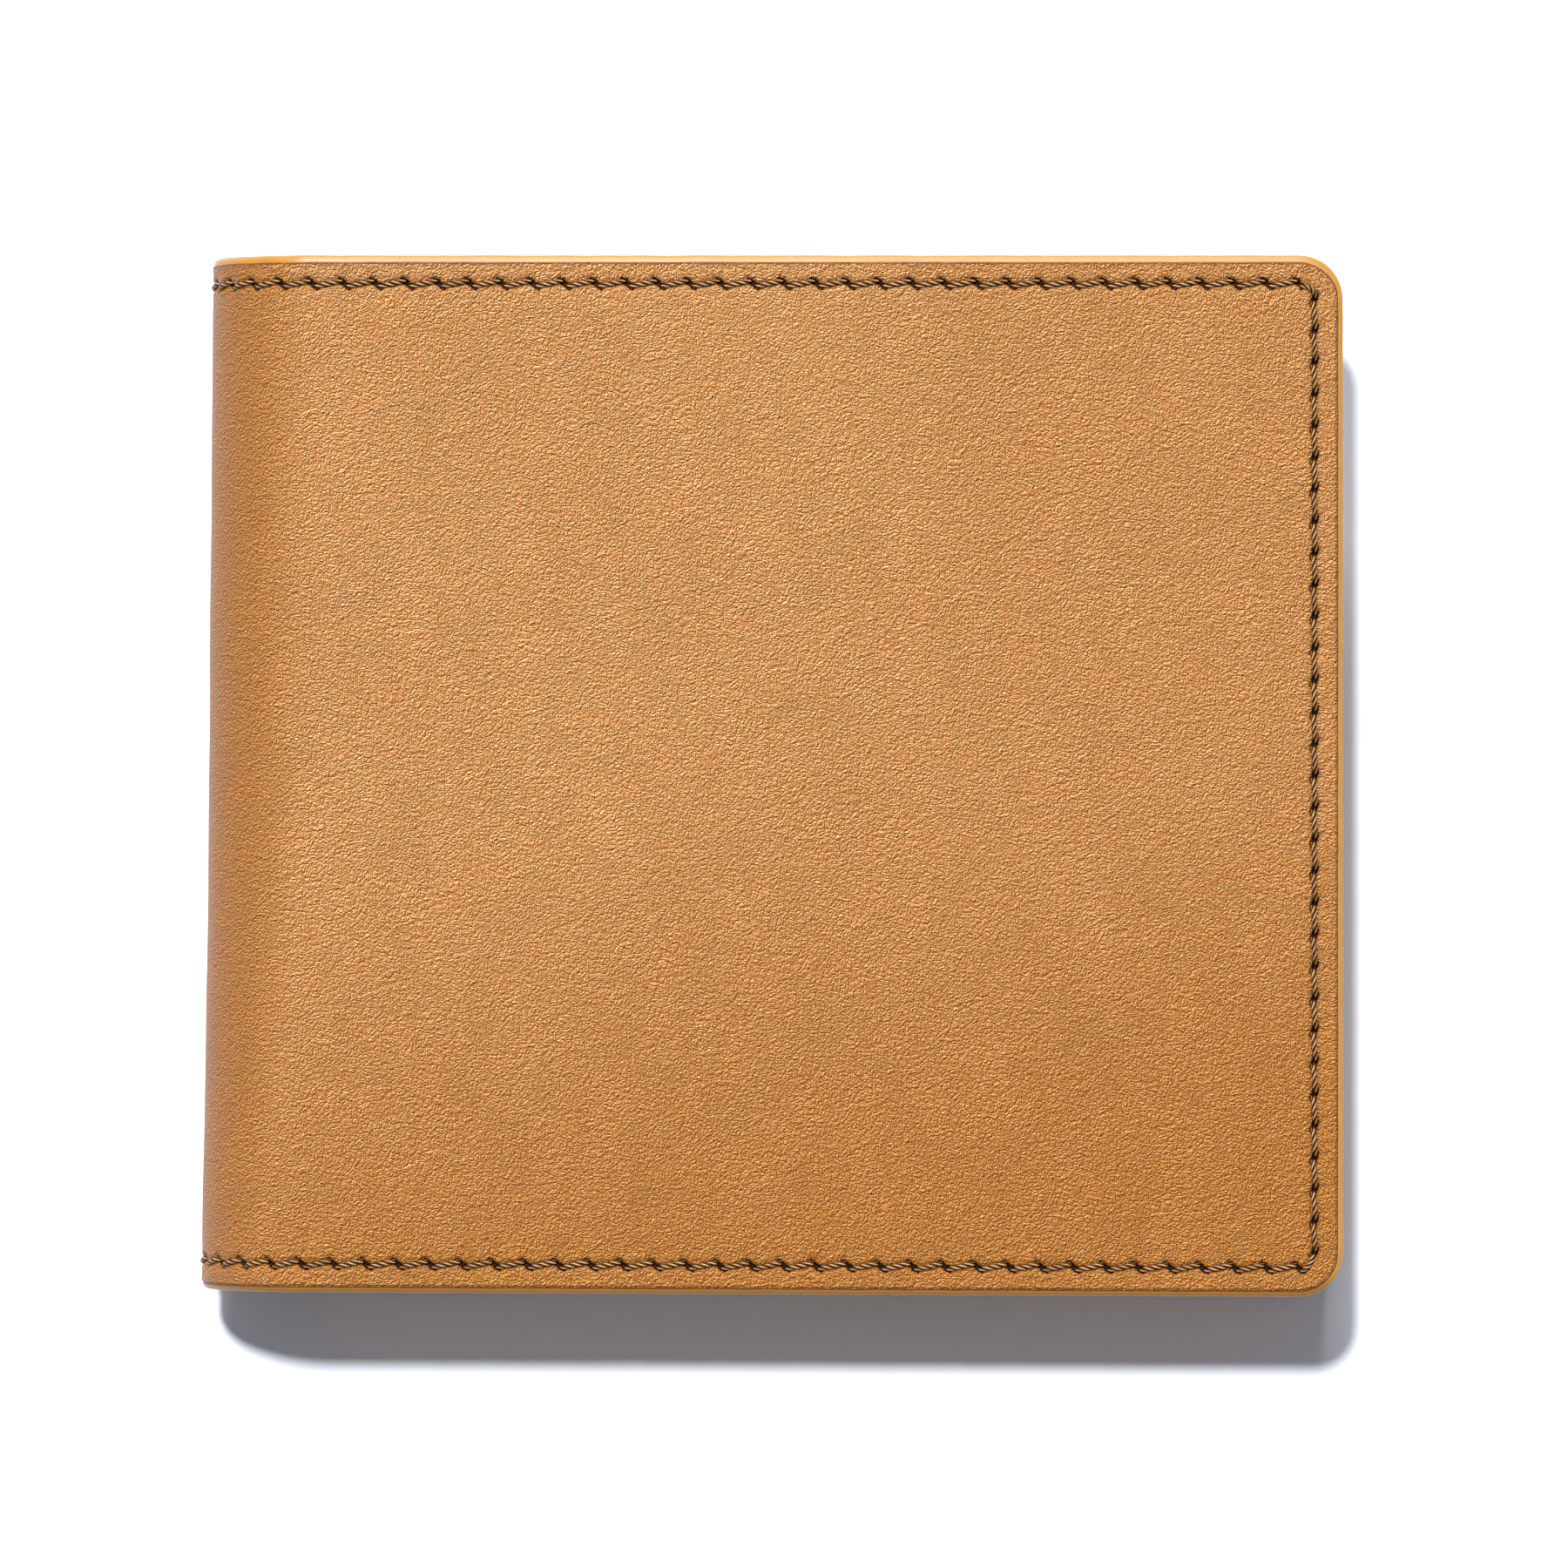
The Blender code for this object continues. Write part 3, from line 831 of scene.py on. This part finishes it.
class Look:
    """A material's node tree, built by short calls."""

    def __init__(self, name):
        self.material = bpy.data.materials.new(name)
        self.material.use_nodes = True
        self.tree = self.material.node_tree
        self.shader = self.tree.nodes["Principled BSDF"]

    def node(self, kind, settings=None, **inputs):
        """A new node, with its settings and its named inputs: numbers or other nodes' outputs."""
        made = self.tree.nodes.new("ShaderNode" + kind)
        for key, value in (settings or {}).items():
            setattr(made, key, value)
        for key, value in inputs.items():
            self.feed(made.inputs[key], value)
        return made

    def feed(self, socket, value):
        if isinstance(value, bpy.types.NodeSocket):
            self.tree.links.new(value, socket)
        else:
            socket.default_value = value

    def operate(self, kind, operation, *values):
        """A node that works out one thing from its inputs, in their order."""
        made = self.node(kind, {"operation": operation})
        for socket, value in zip(made.inputs, values):
            self.feed(socket, value)
        return made.outputs[0]

    def math(self, operation, *values):
        return self.operate("Math", operation, *values)

    def times(self, first, second):
        return self.math("MULTIPLY", first, second)

    def sum(self, *values):
        total = values[0]
        for value in values[1:]:
            total = self.math("ADD", total, value)
        return total

    def weigh(self, *parts):
        """The sum of some values, each times its weight."""
        return self.sum(*[self.times(value, weight) for value, weight in parts])

    def wave(self, value, per_mm):
        """A sine with so many turns to the millimetre."""
        return self.math("SINE", self.times(value, per_mm * 2 * math.pi))

    def scale(self, vector, by):
        return self.operate("VectorMath", "MULTIPLY", vector, by)

    def shift(self, vector, by):
        return self.operate("VectorMath", "ADD", vector, by)

    def warp(self, vector, noise_colour, reach):
        """A vector moved about by a noise's colour, up to half of reach each way."""
        centred = self.shift(noise_colour, (-0.5, -0.5, -0.5))
        return self.shift(vector, self.scale(centred, (reach, reach, 0)))

    def part(self, vector, axis):
        return self.node("SeparateXYZ", Vector=vector).outputs[axis]

    def pattern(self):
        """The cut pattern's coordinates in millimetres."""
        uv = self.node("UVMap", {"uv_map": "pattern"})
        per_mm = 1000 / UV_PER_METRE
        return self.scale(uv.outputs["UV"], (per_mm, per_mm, 0))

    def attribute(self, name):
        return self.node("Attribute", {"attribute_name": name}).outputs["Fac"]

    def noise(self, vector, scale, detail=2.0, rough=0.5, colour=False):
        made = self.node("TexNoise", Vector=vector, Scale=scale, Detail=detail, Roughness=rough)
        return made.outputs["Color" if colour else "Fac"]

    def cells(self, vector, scale):
        """The distance to the nearest border between random cells."""
        made = self.node("TexVoronoi", {"feature": "DISTANCE_TO_EDGE"}, Vector=vector, Scale=scale)
        return made.outputs["Distance"]

    def ramp(self, value, low, high, out_low=0.0, out_high=1.0):
        """A smooth step from out_low, where value is low, to out_high, where it is high."""
        limits = {"From Min": low, "From Max": high, "To Min": out_low, "To Max": out_high}
        step = {"interpolation_type": "SMOOTHSTEP"}
        return self.node("MapRange", step, Value=value, **limits).outputs["Result"]

    def mix(self, factor, first, second):
        """A colour between first, where factor is 0, and second, where it is 1."""
        made = self.node("Mix", {"data_type": "RGBA"}, Factor=factor)
        self.feed(made.inputs[MIX_FIRST], first)
        self.feed(made.inputs[MIX_SECOND], second)
        return made.outputs[MIX_RESULT]

    def bump(self, height, distance):
        return self.node("Bump", Height=height, Distance=distance, Strength=1.0).outputs["Normal"]

    def finish(self, colour, roughness, normal, specular=0.5):
        self.feed(self.shader.inputs["Base Color"], colour)
        self.feed(self.shader.inputs["Roughness"], roughness)
        self.feed(self.shader.inputs["Normal"], normal)
        self.shader.inputs["Specular IOR Level"].default_value = specular
        return self.material


def srgb(red, green, blue):
    """A colour given as it shows on screen, 0 to 255, as a shader's linear colour."""
    def linear(value):
        value /= 255
        return value / 12.92 if value <= 0.04045 else ((value + 0.055) / 1.055) ** 2.4
    return (linear(red), linear(green), linear(blue), 1)


def grey(value):
    return (value, value, value, 1)


# The cover's leather: its tan, painted shade towards the bottom, the free side and the spine's bend, a
# painted highlight on each pebble's lit side and painted shade on the other
TAN, TAN_CLOUD = srgb(184, 115, 48), srgb(190, 122, 56)
TAN_SHADED, TAN_SPINE_SHADE = srgb(164, 96, 17), srgb(162, 90, 0)
GRAIN_HIGHLIGHT, GRAIN_HIGHLIGHT_SHADED, GRAIN_HIGHLIGHT_SPINE_SHADE = srgb(252, 208, 148), srgb(228, 166, 86), srgb(214, 146, 40)
GRAIN_SHADE, FLESH_SIDE = srgb(82, 44, 9), srgb(160, 104, 54)
# Its seam and its edge, with painted shade in the seam's valley, its holes, the groove inside the edge
# and along the bottom
SEAM_PAINTED_SHADE, HOLE_PAINTED_SHADE, CREASE_PAINTED_SHADE = srgb(128, 76, 32), srgb(40, 17, 5), srgb(100, 58, 24)
AMBER, AMBER_LIGHT = srgb(176, 120, 48), srgb(190, 138, 64)
AMBER_WORN, AMBER_BOTTOM_SHADE = srgb(168, 112, 66), srgb(146, 98, 38)
# The pockets, with painted shade in the grain's low places
POCKET, POCKET_CLOUD, POCKET_VALLEY_SHADE = srgb(184, 121, 62), srgb(194, 132, 74), srgb(120, 66, 26)
POCKET_EDGE, COAT, COAT_LIGHT = srgb(196, 132, 52), srgb(176, 114, 42), srgb(204, 142, 62)
# The lining's cloth, darker in the weave's low places as painted shade, and the thread, with a painted
# highlight on each ply's crown and painted shade between plies
YARN_LOW, YARN_HIGH, SLUB = srgb(88, 58, 36), srgb(136, 98, 66), srgb(150, 112, 78)
PLY_GAP_SHADE, PLY, PLY_HIGHLIGHT = srgb(30, 11, 3), srgb(98, 52, 18), srgb(240, 198, 134)
FIBRE, THREAD_TONE = srgb(72, 36, 12), srgb(78, 42, 16)


def relief(look, place, size=1.0):
    """The leather's height: large and small pebbles between wavy valleys, pores and creases."""
    warped = look.warp(place, look.noise(place, 0.10, 2.0, colour=True), 3.0)
    warped = look.warp(warped, look.noise(warped, 1.8, 3.0, colour=True), 0.55)
    pebbles = look.ramp(look.cells(look.scale(warped, (0.92, 1.08, 1.0)), 2.2 / size), 0.0, 0.16)
    small = look.ramp(look.cells(warped, 4.4 / size), 0.0, 0.22)
    fine = look.noise(warped, 7.5 / size, 1.0, 0.6)
    wander_line = look.noise(look.scale(warped, (0.7, 1.2, 1.0)), 0.55 / size, 1.0)
    crossing = look.math("ABSOLUTE", look.math("SUBTRACT", wander_line, 0.5))
    creases = look.ramp(crossing, 0.03, 0.0)
    return look.weigh((pebbles, 0.30), (small, 0.24), (fine, 0.42), (creases, 0.18))


# In millimetres: from the spine's middle to just past the free edge, and the cover's height
FAR_OUT = 120
TALL = 100


def painted_shade(look, place):
    """How much painted shade darkens the leather: most towards the lower free corner and on the spine's
    bend.
    """
    out = look.times(look.math("ABSOLUTE", look.part(place, "X")), 1 / FAR_OUT)
    down = look.times(look.part(place, "Y"), -1 / TALL)
    toward_corner = look.sum(look.times(out, 0.3), down)
    fall_off = look.ramp(toward_corner, 0.0, 0.68, 0.0, 0.95)
    free_side = look.ramp(out, 0.45, 0.80, 0.0, 0.30)
    near_spine = look.ramp(out, 17 / FAR_OUT, 9 / FAR_OUT, 0.0, 1.0)
    return look.math("MAXIMUM", look.math("MAXIMUM", fall_off, free_side), near_spine)


def spine_shade_tone(look, place):
    """How much the middle of the spine's bend takes a deeper, more golden tone: painted shade there."""
    out = look.math("ABSOLUTE", look.part(place, "X"))
    return look.ramp(out, 11.0, 6.0, 0.0, 0.5)


def grain_colour(look, place, height):
    """The face's colours: a painted highlight on each pebble's lit side, painted shade on the other."""
    beside = relief(look, look.shift(place, (-0.04, 0.07, 0)))
    toward_light = look.math("SUBTRACT", height, beside)
    cloud = look.noise(place, 0.035, 3.0, 0.55)
    shaded, spine = painted_shade(look, place), spine_shade_tone(look, place)
    tan = look.mix(look.ramp(cloud, 0.3, 0.7), TAN, TAN_CLOUD)
    # painted shade: darker towards the bottom, the free side and the spine's bend, deeper and more
    # golden on the bend
    tan = look.mix(shaded, tan, TAN_SHADED)
    tan = look.mix(spine, tan, TAN_SPINE_SHADE)
    highlight = look.mix(shaded, GRAIN_HIGHLIGHT, GRAIN_HIGHLIGHT_SHADED)
    highlight = look.mix(spine, highlight, GRAIN_HIGHLIGHT_SPINE_SHADE)
    # painted shade and painted highlight on the two sides of each pebble, from the relief's slope
    tan = look.mix(look.ramp(toward_light, 0.0, -0.24, 0.0, 0.90), tan, GRAIN_SHADE)
    return look.mix(look.ramp(toward_light, 0.05, 0.28, 0.0, 0.90), tan, highlight)


def edge_colour(look, place, edge, height_up):
    """The painted edge: amber with worn patches, and darker along the bottom as painted shade."""
    worn = look.ramp(look.noise(place, 0.045, 2.0), 0.52, 0.62, 0.0, 0.75)
    worn = look.times(worn, look.ramp(edge, 0.2, 0.5))
    amber = look.mix(look.noise(place, 0.6, 2.0), AMBER, AMBER_LIGHT)
    amber = look.mix(worn, amber, AMBER_WORN)
    # painted shade: the bottom edge, which faces away from the light, is darker
    return look.mix(look.ramp(height_up, -47.5, -49.3, 0.0, 0.8), amber, AMBER_BOTTOM_SHADE)


def outer_leather():
    """Semi-matte tan leather with a painted edge, wider along the top, and painted shade along the seam
    and in its holes.
    """
    look = Look("tan_leather_grained")
    place = look.pattern()
    height_up = look.part(place, "Y")
    edge, deep = look.attribute("edge"), look.attribute("deep")
    height = relief(look, place)
    tan = grain_colour(look, place, height)
    # painted shade along the seam's valley
    tan = look.mix(look.ramp(deep, 0.10, 0.30, 0.0, 0.45), tan, SEAM_PAINTED_SHADE)
    # painted shade: near black in the stitch holes and the deepest channel
    tan = look.mix(look.ramp(deep, 0.24, 0.50, 0.0, 0.97), tan, HOLE_PAINTED_SHADE)
    limit = look.ramp(height_up, 46.5, 49.2, 0.50, 0.72)
    past = look.math("SUBTRACT", edge, limit)
    # painted shade: a thin dark line along the groove just inside the edge paint
    tan = look.mix(look.ramp(past, 0.22, 0.06, 0.0, 0.85), tan, CREASE_PAINTED_SHADE)
    wobble = look.times(look.noise(place, 0.5, 2.0), 0.10)
    painted = look.ramp(look.sum(past, wobble), 0.0, 0.05, 1.0, 0.0)
    colour = look.mix(painted, tan, edge_colour(look, place, edge, height_up))
    colour = look.mix(look.ramp(edge, -1.25, -0.9, 1.0, 0.0), colour, FLESH_SIDE)
    roughness = look.mix(painted, grey(0.43), grey(0.33))
    soft = look.times(height, look.math("SUBTRACT", 1.0, painted))
    return look.finish(colour, roughness, look.bump(soft, 0.17 * MM), 0.36)


def inner_leather():
    """The pockets' thinner leather: finer grain, with its edges painted."""
    look = Look("tan_leather_smooth")
    place = look.pattern()
    edge = look.attribute("edge")
    height = relief(look, place, 0.9)
    cloud = look.noise(place, 0.05, 3.0, 0.55)
    tan = look.mix(look.ramp(cloud, 0.3, 0.7), POCKET, POCKET_CLOUD)
    # painted shade in the grain's low places
    tan = look.mix(look.ramp(height, 0.75, 0.45, 0.0, 0.45), tan, POCKET_VALLEY_SHADE)
    painted = look.ramp(edge, 0.22, 0.3, 1.0, 0.0)
    colour = look.mix(painted, tan, POCKET_EDGE)
    roughness = look.mix(painted, grey(0.55), grey(0.36))
    soft = look.times(height, look.math("SUBTRACT", 1.0, painted))
    return look.finish(colour, roughness, look.bump(soft, 0.13 * MM))


def edge_coat():
    """The glossier coat on the stacks' pressed edges, streaked along them."""
    look = Look("amber_edge_coat")
    place = look.pattern()
    streak = look.noise(look.scale(place, (0.3, 2.0, 1)), 1.2, 3.0)
    colour = look.mix(streak, COAT, COAT_LIGHT)
    rough = look.ramp(streak, 0.3, 0.7, 0.30, 0.42)
    return look.finish(colour, rough, look.bump(streak, 0.05 * MM))


YARNS_PER_MM = 4


def woven_lining():
    """A fine twill: two sets of yarns, with the diagonal ribs of the weave."""
    look = Look("brown_twill_lining")
    place = look.pattern()
    across, along = look.part(place, "X"), look.part(place, "Y")
    weft, warp = look.wave(along, YARNS_PER_MM), look.wave(across, YARNS_PER_MM)
    rib = look.wave(look.sum(across, along), 1)
    height = look.weigh((weft, 0.25), (warp, 0.25), (rib, 0.5))
    slub = look.noise(look.scale(place, (0.2, 3.0, 1)), 1.0, 3.0)
    # the weave's pattern, with its low places darker as painted shade
    colour = look.mix(look.ramp(height, -0.8, 0.8), YARN_LOW, YARN_HIGH)
    colour = look.mix(look.ramp(slub, 0.3, 0.7, 0.0, 0.3), colour, SLUB)
    look.shader.inputs["Sheen Weight"].default_value = 0.25
    return look.finish(colour, 0.7, look.bump(height, 0.03 * MM), 0.3)


def brown_thread():
    """Waxed three-ply thread: a painted highlight along each ply's crown, and painted shade, near
    black, between them.
    """
    look = Look("brown_ply_thread")
    turn, tone = look.attribute("turn"), look.attribute("tone")
    place = look.pattern()
    crown = look.math("ABSOLUTE", look.math("COSINE", look.times(turn, 1.5)))
    fibre = look.noise(look.scale(place, (3.0, 12.0, 1)), 1.6, 3.0, 0.6)
    # painted shade between the plies, and below a painted highlight along each crown
    colour = look.mix(look.ramp(crown, 0.15, 0.8), PLY_GAP_SHADE, PLY)
    colour = look.mix(look.ramp(crown, 0.82, 0.98, 0.0, 0.85), colour, PLY_HIGHLIGHT)
    colour = look.mix(look.ramp(fibre, 0.35, 0.7, 0.0, 0.5), colour, FIBRE)
    colour = look.mix(look.times(tone, 0.35), colour, THREAD_TONE)
    height = look.sum(crown, look.times(fibre, 0.4))
    return look.finish(colour, 0.40, look.bump(height, 0.10 * MM), 0.30)


def floor_look():
    look = Look("white_floor")
    look.shader.inputs["Base Color"].default_value = (0.85, 0.90, 0.98, 1)
    look.shader.inputs["Roughness"].default_value = 0.9
    look.shader.inputs["Specular IOR Level"].default_value = 0.1
    return look.material


# -------------------- the making of the pieces


def ride_half(half, name, build, replaced, look):
    obj = mesh_object(name, build.all_points(), build.faces, build.all_values(), look)
    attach(obj, f"{half}_half")
    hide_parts(*replaced)


def make_cover():
    leather, lining, thread = outer_leather(), woven_lining(), brown_thread()
    replaced = nodes_of_fold(["cover_leather"], ["spine_leather"])
    fold_pieces("cover_leather", build_cover_leather(), replaced, leather)
    replaced = nodes_of_fold(["cover_lining"], ["spine_lining"])
    fold_pieces("cover_lining", build_lining(), replaced, lining)
    build, centres = build_cover_seam()
    replaced = nodes_of_fold(["cover_thread"], ["spine_thread_top", "spine_thread_bottom"])
    fold_pieces("cover_stitches", build, replaced, thread, centres)
    build, centres = build_inner_seam()
    replaced = nodes_of_fold(["lining_thread"], [])
    fold_pieces("lining_stitches", build, replaced, thread, centres)
    return thread


def make_stack(half, thread, leather, coat):
    for index, (node, _, _) in enumerate(leaves(half)):
        shift = (0.3 + 0.13 * index) * (1 if half == "back" else -1)
        build = build_leaf(half, node, shift)
        ride_half(half, node + "_leaf", build, [node], leather)
    edges = [f"{half}_stack_{side}_edge" for side in ("free", "spine", "bottom")]
    ride_half(half, f"{half}_stack_edges", build_stack_edge(half), edges, coat)
    seam = build_stack_seam(half)
    ride_half(half, f"{half}_stack_stitches", seam, [f"{half}_stack_thread"], thread)
    for number in range(2, POCKETS + 1):
        node = f"{half}_card_pocket_{number}_bottom_seam"
        ride_half(half, node + "_stitches", build_bottom_seam(node), [node], thread)


def make_camera():
    """Straight above, with a long lens, a little to one side of the wallet's middle."""
    view_width = 150.45 * MM
    aim = Vector((1.35 * MM, -0.75 * MM, THICKNESS))
    height = 1.15
    data = bpy.data.cameras.new("camera")
    data.sensor_width = 36
    data.lens = data.sensor_width * height / view_width
    data.clip_start, data.clip_end = 0.05, 10
    camera = add_object("camera", data)
    camera.location = aim + Vector((0, 0, height))
    bpy.context.scene.camera = camera


def make_floor():
    """A plain floor, just below the lowest places of the softly uneven covers."""
    mesh = bpy.data.meshes.new("floor")
    size = 2.0
    sides = [(-size, -size), (size, -size), (size, size), (-size, size)]
    corners = [(x, y, -SAG) for x, y in sides]
    mesh.from_pydata(corners, [], [(0, 1, 2, 3)])
    mesh.materials.append(floor_look())
    add_object("floor", mesh)


def add_sun(name, towards, spread, strength):
    """A distant lamp, as wide as spread degrees, giving this much light."""
    data = bpy.data.lights.new(name, "SUN")
    data.angle = math.radians(spread)
    data.energy = strength
    lamp = add_object(name, data)
    lamp.rotation_mode = "QUATERNION"
    lamp.rotation_quaternion = Vector(towards).to_track_quat("Z", "Y")


def make_lights():
    """A small key overhead towards the top, and a lower, wider lamp that rakes the grain."""
    add_sun("key", (-2.5, 8.2, 20.0), 4.5, 3.73)
    add_sun("rake", (-0.03, 1.0, 0.6), 14, 1.9)


FILL = 0.247
BACKDROP = 1.1


def make_world():
    """An even fill from all round, which the camera sees as a white backdrop beyond the floor."""
    world = bpy.data.worlds.new("studio")
    bpy.context.scene.world = world
    world.use_nodes = True
    nodes, links = world.node_tree.nodes, world.node_tree.links
    background = nodes["Background"]
    background.inputs["Color"].default_value = (0.91, 0.96, 1.06, 1)
    strength = nodes.new("ShaderNodeMapRange")
    strength.inputs["To Min"].default_value = FILL
    strength.inputs["To Max"].default_value = BACKDROP
    links.new(nodes.new("ShaderNodeLightPath").outputs["Is Camera Ray"], strength.inputs["Value"])
    links.new(strength.outputs["Result"], background.inputs["Strength"])
    bpy.context.scene.view_settings.view_transform = "Standard"


def main():
    make_camera()
    thread = make_cover()
    leather, coat = inner_leather(), edge_coat()
    for half in ("back", "front"):
        make_stack(half, thread, leather, coat)
    make_floor()
    make_lights()
    make_world()


main()
